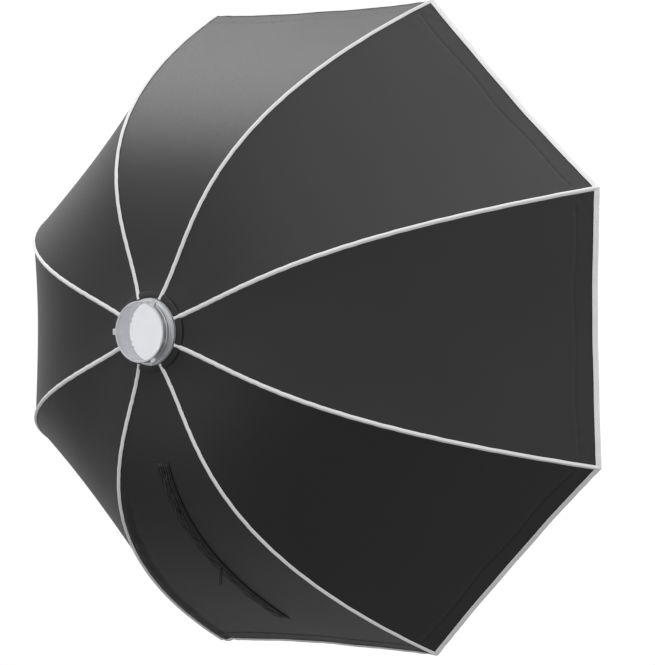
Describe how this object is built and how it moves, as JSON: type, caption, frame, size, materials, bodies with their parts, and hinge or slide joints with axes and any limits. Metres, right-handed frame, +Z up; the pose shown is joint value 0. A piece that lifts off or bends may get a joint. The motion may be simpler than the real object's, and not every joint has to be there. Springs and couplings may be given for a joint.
{
  "type": "octabox",
  "caption": "Folding eight-sided softbox with a bayonet ring, sprung ribs, black panels, a white front diffuser and a zipped access slit.",
  "frame": {"origin": "centre of the bayonet ring's rear face", "axes": "+Y out of the bayonet towards the lamp, -Y towards the diffuser, +Z up, the zip panel lowest"},
  "size_m": [1.109, 0.5108, 1.109],
  "materials": {
    "cast_ring": "satin bead-blasted casting",
    "steel": "brushed",
    "rod": "satin black coat",
    "black_cloth": "coated black weave outside, silver inside",
    "white_cloth": "matt white diffusion weave",
    "seam_tape": "light grey ribbed binding",
    "dark_metal": "gloss black"
  },
  "bodies": {
    "hub": {"bayonet_ring": "cast_ring", "rib_collar": "cast_ring", "pivot_pin_0": "steel", "pivot_pin_1": "steel", "pivot_pin_2": "steel", "pivot_pin_3": "steel", "pivot_pin_4": "steel", "pivot_pin_5": "steel", "pivot_pin_6": "steel", "pivot_pin_7": "steel"},
    "rib_0": {"rib_foot_0": "steel", "rib_0": "rod"},
    "rib_1": {"rib_foot_1": "steel", "rib_1": "rod"},
    "rib_2": {"rib_foot_2": "steel", "rib_2": "rod"},
    "rib_3": {"rib_foot_3": "steel", "rib_3": "rod"},
    "rib_4": {"rib_foot_4": "steel", "rib_4": "rod"},
    "rib_5": {"rib_foot_5": "steel", "rib_5": "rod"},
    "rib_6": {"rib_foot_6": "steel", "rib_6": "rod"},
    "rib_7": {"rib_foot_7": "steel", "rib_7": "rod"},
    "panel_0_left": {"panel_0_left": "black_cloth"},
    "panel_0_right": {"panel_0_right": "black_cloth"},
    "diffuser_0": {"diffuser_0": "white_cloth"},
    "panel_1_left": {"panel_1_left": "black_cloth"},
    "panel_1_right": {"panel_1_right": "black_cloth"},
    "diffuser_1": {"diffuser_1": "white_cloth"},
    "panel_2_left": {"panel_2_left": "black_cloth"},
    "panel_2_right": {"panel_2_right": "black_cloth"},
    "diffuser_2": {"diffuser_2": "white_cloth"},
    "panel_3_left": {"panel_3_left": "black_cloth"},
    "panel_3_right": {"panel_3_right": "black_cloth"},
    "diffuser_3": {"diffuser_3": "white_cloth"},
    "panel_4_left": {"panel_4_left": "black_cloth"},
    "panel_4_right": {"panel_4_right": "black_cloth"},
    "diffuser_4": {"diffuser_4": "white_cloth"},
    "panel_5_left": {"panel_5_left": "black_cloth"},
    "panel_5_right": {"panel_5_right": "black_cloth"},
    "diffuser_5": {"diffuser_5": "white_cloth"},
    "panel_6_left": {"panel_6_left": "black_cloth"},
    "panel_6_right": {"panel_6_right": "black_cloth"},
    "diffuser_6": {"diffuser_6": "white_cloth"},
    "panel_7_left": {"panel_7_left": "black_cloth"},
    "panel_7_right": {"panel_7_right": "black_cloth"},
    "diffuser_7": {"diffuser_7": "white_cloth"},
    "zip_slider": {"zip_slider": "dark_metal"},
    "zip_pull": {"zip_pull": "dark_metal"}
  },
  "joints": [
    {"name": "rib_fold_0", "type": "hinge", "parent": "hub", "child": "rib_0", "pos_m": [0.06051, -0.041, 0.02507], "axis": [0.3827, 0, -0.9239], "range_deg": [0, 47]},
    {"name": "rib_fold_1", "type": "hinge", "parent": "hub", "child": "rib_1", "pos_m": [0.02507, -0.041, 0.06051], "axis": [0.9239, 0, -0.3827], "range_deg": [0, 47]},
    {"name": "rib_fold_2", "type": "hinge", "parent": "hub", "child": "rib_2", "pos_m": [-0.02507, -0.041, 0.06051], "axis": [0.9239, 0, 0.3827], "range_deg": [0, 47]},
    {"name": "rib_fold_3", "type": "hinge", "parent": "hub", "child": "rib_3", "pos_m": [-0.06051, -0.041, 0.02507], "axis": [0.3827, 0, 0.9239], "range_deg": [0, 47]},
    {"name": "rib_fold_4", "type": "hinge", "parent": "hub", "child": "rib_4", "pos_m": [-0.06051, -0.041, -0.02507], "axis": [-0.3827, 0, 0.9239], "range_deg": [0, 47]},
    {"name": "rib_fold_5", "type": "hinge", "parent": "hub", "child": "rib_5", "pos_m": [-0.02507, -0.041, -0.06051], "axis": [-0.9239, 0, 0.3827], "range_deg": [0, 47]},
    {"name": "rib_fold_6", "type": "hinge", "parent": "hub", "child": "rib_6", "pos_m": [0.02507, -0.041, -0.06051], "axis": [-0.9239, 0, -0.3827], "range_deg": [0, 47]},
    {"name": "rib_fold_7", "type": "hinge", "parent": "hub", "child": "rib_7", "pos_m": [0.06051, -0.041, -0.02507], "axis": [-0.3827, 0, -0.9239], "range_deg": [0, 47]},
    {"name": "panel_fold_0_left", "type": "hinge", "parent": "rib_0", "child": "panel_0_left", "pos_m": [0.27548, 0.02465, 0.05733], "axis": [0.298, -0.5874, 0.7525], "range_deg": [0, 74.87], "deforming": ["panel_0_left"]},
    {"name": "panel_fold_0_right", "type": "hinge", "parent": "rib_0", "child": "panel_0_right", "pos_m": [0.23533, 0.02465, 0.15425], "axis": [-0.7428, 0.5874, 0.3214], "range_deg": [0, 74.87], "deforming": ["panel_0_right"]},
    {"name": "diffuser_fold_0", "type": "hinge", "parent": "rib_0", "child": "diffuser_0", "pos_m": [0.52162, -0.477, 0.21606], "axis": [0.3827, 0, -0.9239], "range_deg": [0, 43], "deforming": ["diffuser_0"]},
    {"name": "panel_fold_1_left", "type": "hinge", "parent": "rib_1", "child": "panel_1_left", "pos_m": [0.15425, 0.02465, 0.23533], "axis": [-0.3214, -0.5874, 0.7428], "range_deg": [0, 74.87], "deforming": ["panel_1_left"]},
    {"name": "panel_fold_1_right", "type": "hinge", "parent": "rib_1", "child": "panel_1_right", "pos_m": [0.05733, 0.02465, 0.27548], "axis": [-0.7525, 0.5874, -0.298], "range_deg": [0, 74.87], "deforming": ["panel_1_right"]},
    {"name": "diffuser_fold_1", "type": "hinge", "parent": "rib_1", "child": "diffuser_1", "pos_m": [0.21606, -0.477, 0.52162], "axis": [0.9239, 0, -0.3827], "range_deg": [0, 43], "deforming": ["diffuser_1"]},
    {"name": "panel_fold_2_left", "type": "hinge", "parent": "rib_2", "child": "panel_2_left", "pos_m": [-0.05733, 0.02465, 0.27548], "axis": [-0.7525, -0.5874, 0.298], "range_deg": [0, 74.87], "deforming": ["panel_2_left"]},
    {"name": "panel_fold_2_right", "type": "hinge", "parent": "rib_2", "child": "panel_2_right", "pos_m": [-0.15425, 0.02465, 0.23533], "axis": [-0.3214, 0.5874, -0.7428], "range_deg": [0, 74.87], "deforming": ["panel_2_right"]},
    {"name": "diffuser_fold_2", "type": "hinge", "parent": "rib_2", "child": "diffuser_2", "pos_m": [-0.21606, -0.477, 0.52162], "axis": [0.9239, 0, 0.3827], "range_deg": [0, 43], "deforming": ["diffuser_2"]},
    {"name": "panel_fold_3_left", "type": "hinge", "parent": "rib_3", "child": "panel_3_left", "pos_m": [-0.23533, 0.02465, 0.15425], "axis": [-0.7428, -0.5874, -0.3214], "range_deg": [0, 74.87], "deforming": ["panel_3_left"]},
    {"name": "panel_fold_3_right", "type": "hinge", "parent": "rib_3", "child": "panel_3_right", "pos_m": [-0.27548, 0.02465, 0.05733], "axis": [0.298, 0.5874, -0.7525], "range_deg": [0, 74.87], "deforming": ["panel_3_right"]},
    {"name": "diffuser_fold_3", "type": "hinge", "parent": "rib_3", "child": "diffuser_3", "pos_m": [-0.52162, -0.477, 0.21606], "axis": [0.3827, 0, 0.9239], "range_deg": [0, 43], "deforming": ["diffuser_3"]},
    {"name": "panel_fold_4_left", "type": "hinge", "parent": "rib_4", "child": "panel_4_left", "pos_m": [-0.27548, 0.02465, -0.05733], "axis": [-0.298, -0.5874, -0.7525], "range_deg": [0, 74.87], "deforming": ["panel_4_left"]},
    {"name": "panel_fold_4_right", "type": "hinge", "parent": "rib_4", "child": "panel_4_right", "pos_m": [-0.23533, 0.02465, -0.15425], "axis": [0.7428, 0.5874, -0.3214], "range_deg": [0, 74.87], "deforming": ["panel_4_right"]},
    {"name": "diffuser_fold_4", "type": "hinge", "parent": "rib_4", "child": "diffuser_4", "pos_m": [-0.52162, -0.477, -0.21606], "axis": [-0.3827, 0, 0.9239], "range_deg": [0, 43], "deforming": ["diffuser_4"]},
    {"name": "panel_fold_5_left", "type": "hinge", "parent": "rib_5", "child": "panel_5_left", "pos_m": [-0.15425, 0.02465, -0.23533], "axis": [0.3214, -0.5874, -0.7428], "range_deg": [0, 74.87], "deforming": ["panel_5_left"]},
    {"name": "panel_fold_5_right", "type": "hinge", "parent": "rib_5", "child": "panel_5_right", "pos_m": [-0.05733, 0.02465, -0.27548], "axis": [0.7525, 0.5874, 0.298], "range_deg": [0, 74.87], "deforming": ["panel_5_right"]},
    {"name": "diffuser_fold_5", "type": "hinge", "parent": "rib_5", "child": "diffuser_5", "pos_m": [-0.21606, -0.477, -0.52162], "axis": [-0.9239, 0, 0.3827], "range_deg": [0, 43], "deforming": ["diffuser_5"]},
    {"name": "panel_fold_6_left", "type": "hinge", "parent": "rib_6", "child": "panel_6_left", "pos_m": [0.05733, 0.02465, -0.27548], "axis": [0.7525, -0.5874, -0.298], "range_deg": [0, 74.87], "deforming": ["panel_6_left"]},
    {"name": "panel_fold_6_right", "type": "hinge", "parent": "rib_6", "child": "panel_6_right", "pos_m": [0.15425, 0.02465, -0.23533], "axis": [0.3214, 0.5874, 0.7428], "range_deg": [0, 74.87], "deforming": ["panel_6_right"]},
    {"name": "diffuser_fold_6", "type": "hinge", "parent": "rib_6", "child": "diffuser_6", "pos_m": [0.21606, -0.477, -0.52162], "axis": [-0.9239, 0, -0.3827], "range_deg": [0, 43], "deforming": ["diffuser_6"]},
    {"name": "panel_fold_7_left", "type": "hinge", "parent": "rib_7", "child": "panel_7_left", "pos_m": [0.23533, 0.02465, -0.15425], "axis": [0.7428, -0.5874, 0.3214], "range_deg": [0, 74.87], "deforming": ["panel_7_left"]},
    {"name": "panel_fold_7_right", "type": "hinge", "parent": "rib_7", "child": "panel_7_right", "pos_m": [0.27548, 0.02465, -0.05733], "axis": [-0.298, 0.5874, 0.7525], "range_deg": [0, 74.87], "deforming": ["panel_7_right"]},
    {"name": "diffuser_fold_7", "type": "hinge", "parent": "rib_7", "child": "diffuser_7", "pos_m": [0.52162, -0.477, -0.21606], "axis": [-0.3827, 0, -0.9239], "range_deg": [0, 43], "deforming": ["diffuser_7"]},
    {"name": "zip_slide", "type": "hinge", "parent": "panel_5_left", "child": "zip_slider", "pos_m": [0, -0.58501, 0.089], "axis": [1, 0, 0], "range_deg": [-18.7, 23.9]},
    {"name": "zip_pull_swing", "type": "hinge", "parent": "zip_slider", "child": "zip_pull", "pos_m": [0, -0.20883, -0.40121], "axis": [1, 0, 0], "range_deg": [-51, 100]}
  ],
  "couplings": [
    {"joint": "rib_fold_1", "follows": "rib_fold_0", "ratio": 1},
    {"joint": "rib_fold_2", "follows": "rib_fold_0", "ratio": 1},
    {"joint": "rib_fold_3", "follows": "rib_fold_0", "ratio": 1},
    {"joint": "rib_fold_4", "follows": "rib_fold_0", "ratio": 1},
    {"joint": "rib_fold_5", "follows": "rib_fold_0", "ratio": 1},
    {"joint": "rib_fold_6", "follows": "rib_fold_0", "ratio": 1},
    {"joint": "rib_fold_7", "follows": "rib_fold_0", "ratio": 1},
    {"joint": "panel_fold_0_left", "follows": "rib_fold_0", "ratio": 1.593},
    {"joint": "panel_fold_0_right", "follows": "rib_fold_0", "ratio": 1.593},
    {"joint": "diffuser_fold_0", "follows": "rib_fold_0", "ratio": 0.91489},
    {"joint": "panel_fold_1_left", "follows": "rib_fold_0", "ratio": 1.593},
    {"joint": "panel_fold_1_right", "follows": "rib_fold_0", "ratio": 1.593},
    {"joint": "diffuser_fold_1", "follows": "rib_fold_0", "ratio": 0.91489},
    {"joint": "panel_fold_2_left", "follows": "rib_fold_0", "ratio": 1.593},
    {"joint": "panel_fold_2_right", "follows": "rib_fold_0", "ratio": 1.593},
    {"joint": "diffuser_fold_2", "follows": "rib_fold_0", "ratio": 0.91489},
    {"joint": "panel_fold_3_left", "follows": "rib_fold_0", "ratio": 1.593},
    {"joint": "panel_fold_3_right", "follows": "rib_fold_0", "ratio": 1.593},
    {"joint": "diffuser_fold_3", "follows": "rib_fold_0", "ratio": 0.91489},
    {"joint": "panel_fold_4_left", "follows": "rib_fold_0", "ratio": 1.593},
    {"joint": "panel_fold_4_right", "follows": "rib_fold_0", "ratio": 1.593},
    {"joint": "diffuser_fold_4", "follows": "rib_fold_0", "ratio": 0.91489},
    {"joint": "panel_fold_5_left", "follows": "rib_fold_0", "ratio": 1.593},
    {"joint": "panel_fold_5_right", "follows": "rib_fold_0", "ratio": 1.593},
    {"joint": "diffuser_fold_5", "follows": "rib_fold_0", "ratio": 0.91489},
    {"joint": "panel_fold_6_left", "follows": "rib_fold_0", "ratio": 1.593},
    {"joint": "panel_fold_6_right", "follows": "rib_fold_0", "ratio": 1.593},
    {"joint": "diffuser_fold_6", "follows": "rib_fold_0", "ratio": 0.91489},
    {"joint": "panel_fold_7_left", "follows": "rib_fold_0", "ratio": 1.593},
    {"joint": "panel_fold_7_right", "follows": "rib_fold_0", "ratio": 1.593},
    {"joint": "diffuser_fold_7", "follows": "rib_fold_0", "ratio": 0.91489}
  ]
}
